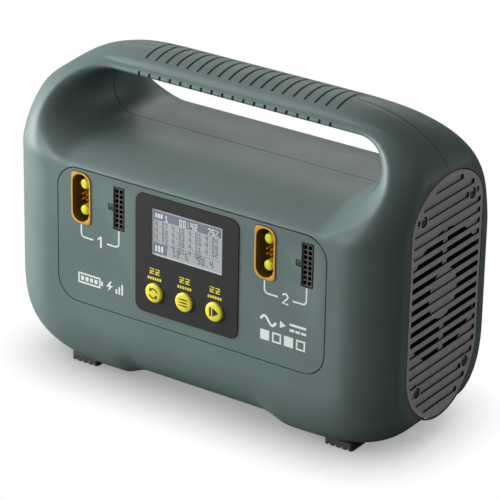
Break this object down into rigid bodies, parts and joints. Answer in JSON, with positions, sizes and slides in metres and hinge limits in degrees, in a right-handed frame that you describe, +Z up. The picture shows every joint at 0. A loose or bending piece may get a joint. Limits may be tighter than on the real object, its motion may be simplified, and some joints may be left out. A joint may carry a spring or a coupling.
{
  "type": "balance battery charger",
  "caption": "Mains balance battery charger in a rounded moulded case with a through-handle, front display, push buttons, power and balance sockets, and a slotted fan grille at each end.",
  "frame": {"origin": "middle of the footprint on the resting plane, under the feet", "axes": "+X along the handle to the right as seen from the front, -Y out of the front panel, +Z up"},
  "size_m": [0.276, 0.134, 0.2037],
  "materials": {
    "case": "fine satin texture, grey-green",
    "panel": "fine satin texture, grey-green",
    "grip": "matte, ribbed, grey-green",
    "bezel": "satin, dark grey",
    "window": "clear, glossy",
    "display": "light grey liquid crystal",
    "circuit_board": "green solder mask",
    "ferrite": "dark ferrite with a taped winding",
    "heatsink": "extruded, satin",
    "capacitor_sleeve": "shrunk dark blue sleeve",
    "copper_winding": "enamelled copper wire",
    "cable": "flat flexible cable",
    "black_plastic": "satin black",
    "screw": "dark zinc",
    "foot": "matte black",
    "button": "satin yellow",
    "socket_gold": "satin golden yellow",
    "contact": "gold plated",
    "pins": "gold plated",
    "grille": "satin dark warm grey",
    "fan": "satin black"
  },
  "bodies": {
    "charger": {"front_shell": "case", "rear_shell": "case", "handle_grip_top": "grip", "handle_grip_bottom": "grip", "front_panel": "panel", "display_bezel": "bezel", "lcd_window": "window", "lcd_module": "display", "control_board": "circuit_board", "power_board": "circuit_board", "transformer": "ferrite", "heatsink_left": "heatsink", "heatsink_right": "heatsink", "bulk_capacitor_left": "capacitor_sleeve", "bulk_capacitor_right": "capacitor_sleeve", "line_filter_choke": "copper_winding", "panel_cable": "cable", "ac_inlet": "black_plastic", "case_screw_upper_left": "screw", "case_screw_upper_right": "screw", "case_screw_lower_left": "screw", "case_screw_lower_right": "screw", "foot_front_left": "foot", "foot_front_right": "foot", "foot_rear_left": "foot", "foot_rear_right": "foot", "switch_cycle": "black_plastic", "switch_list": "black_plastic", "switch_start": "black_plastic", "power_socket_1": "socket_gold", "signal_pins_1": "pins", "power_contact_1_lower": "contact", "power_contact_1_upper": "contact", "balance_socket_1": "black_plastic", "power_socket_2": "socket_gold", "signal_pins_2": "pins", "power_contact_2_lower": "contact", "power_contact_2_upper": "contact", "balance_socket_2": "black_plastic", "grille_right": "grille", "fan_frame_right": "black_plastic", "grille_screw_right_lower_front": "screw", "grille_screw_right_lower_rear": "screw", "grille_screw_right_upper_front": "screw", "grille_screw_right_upper_rear": "screw", "grille_left": "grille", "fan_frame_left": "black_plastic", "grille_screw_left_lower_front": "screw", "grille_screw_left_lower_rear": "screw", "grille_screw_left_upper_front": "screw", "grille_screw_left_upper_rear": "screw", "inlet_pin_neutral": "pins", "inlet_pin_earth": "pins", "inlet_pin_line": "pins"},
    "button_cycle": {"button_cycle": "button"},
    "button_list": {"button_list": "button"},
    "button_start": {"button_start": "button"},
    "fan_rotor_right": {"fan_rotor_right": "fan"},
    "fan_rotor_left": {"fan_rotor_left": "fan"}
  },
  "joints": [
    {"name": "press_cycle", "type": "slide", "parent": "charger", "child": "button_cycle", "axis": [0, 1, 0], "range_m": [0, 0.0008]},
    {"name": "press_list", "type": "slide", "parent": "charger", "child": "button_list", "axis": [0, 1, 0], "range_m": [0, 0.0008]},
    {"name": "press_start", "type": "slide", "parent": "charger", "child": "button_start", "axis": [0, 1, 0], "range_m": [0, 0.0008]},
    {"name": "spin_right", "type": "hinge", "parent": "charger", "child": "fan_rotor_right", "pos_m": [0.119, 0, 0.097], "axis": [1, 0, 0], "continuous": true},
    {"name": "spin_left", "type": "hinge", "parent": "charger", "child": "fan_rotor_left", "pos_m": [-0.119, 0, 0.097], "axis": [1, 0, 0], "continuous": true}
  ]
}
